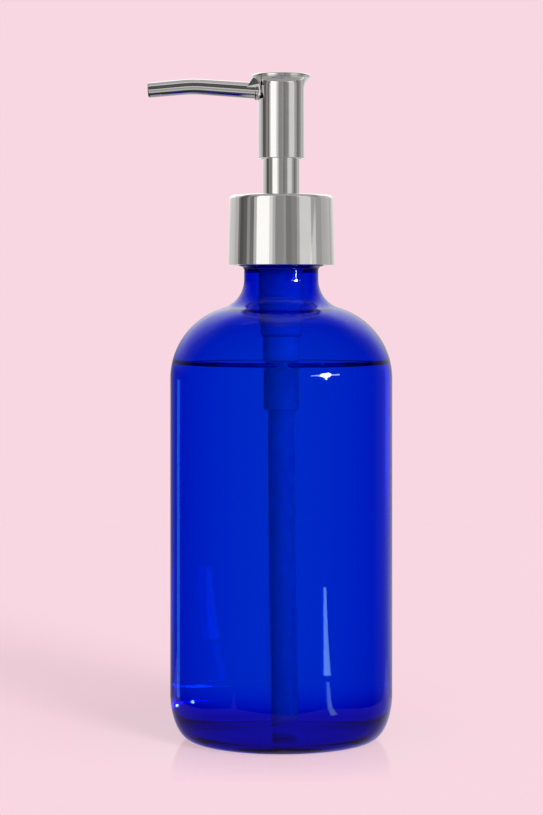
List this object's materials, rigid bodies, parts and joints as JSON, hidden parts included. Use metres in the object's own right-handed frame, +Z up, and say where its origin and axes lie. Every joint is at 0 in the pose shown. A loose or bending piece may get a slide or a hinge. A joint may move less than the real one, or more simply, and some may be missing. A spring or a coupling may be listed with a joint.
{
  "type": "lotion pump bottle",
  "caption": "Round-shouldered glass bottle with a screw-on polished metal lotion pump: press the head and liquid rises up the dip tube and out of the side spout.",
  "frame": {"origin": "on the bottle's axis, in the plane that its foot stands on", "axes": "+Z up along the bottle's axis, -X along the spout towards its mouth, +Y away from the side shown"},
  "size_m": [0.0828, 0.075, 0.2241],
  "materials": {
    "blue_glass": "clear cobalt glass, glossy",
    "polished_steel": "mirror polished stainless steel",
    "white_plastic": "moulded polypropylene",
    "natural_plastic": "natural moulded polypropylene",
    "tube_plastic": "extruded polyethylene",
    "seal_plastic": "soft polyethylene",
    "gasket_foam": "foamed liner",
    "valve_steel": "stainless wire and ball"
  },
  "bodies": {
    "bottle_body": {"bottle": "blue_glass"},
    "pump_body": {"pump_housing": "natural_plastic", "sealing_gasket": "gasket_foam", "stem_guide": "white_plastic", "ball_cage": "white_plastic", "dip_tube": "tube_plastic"},
    "collar": {"collar_shell": "polished_steel", "threaded_insert": "white_plastic"},
    "ball": {"inlet_ball": "valve_steel"},
    "spring": {"return_spring": "valve_steel"},
    "plunger": {"pump_stem": "white_plastic", "piston_rod": "white_plastic", "stem_sleeve": "polished_steel", "head_shell": "polished_steel", "head_core": "white_plastic", "head_cap": "polished_steel", "spout_tube": "polished_steel", "spout_ring": "polished_steel", "spout_gusset": "polished_steel"},
    "seal": {"piston_seal": "seal_plastic"}
  },
  "joints": [
    {"name": "pump_lift", "type": "slide", "parent": "bottle_body", "child": "pump_body", "axis": [0, 0, 1], "range_m": [0, 0.0036]},
    {"name": "collar_turn", "type": "hinge", "parent": "pump_body", "child": "collar", "pos_m": [0, 0, 0.17], "axis": [0, 0, 1], "range_deg": [0, 300]},
    {"name": "head_swivel", "type": "hinge", "parent": "pump_body", "child": "spring", "pos_m": [0, 0, 0.17], "axis": [0, 0, 1], "continuous": true},
    {"name": "pump_press", "type": "slide", "parent": "spring", "child": "plunger", "axis": [0, 0, 1], "range_m": [-0.012, 0], "stiffness_N_per_m": 900, "springref_m": 0.008, "deforming": ["return_spring"]},
    {"name": "seal_slip", "type": "slide", "parent": "plunger", "child": "seal", "axis": [0, 0, 1], "range_m": [0, 0.0012]},
    {"name": "ball_lift", "type": "slide", "parent": "pump_body", "child": "ball", "axis": [0, 0, 1], "range_m": [0, 0.0015]}
  ],
  "couplings": [
    {"joint": "pump_lift", "follows": "collar_turn", "m_per_rad": 0.0006737}
  ]
}
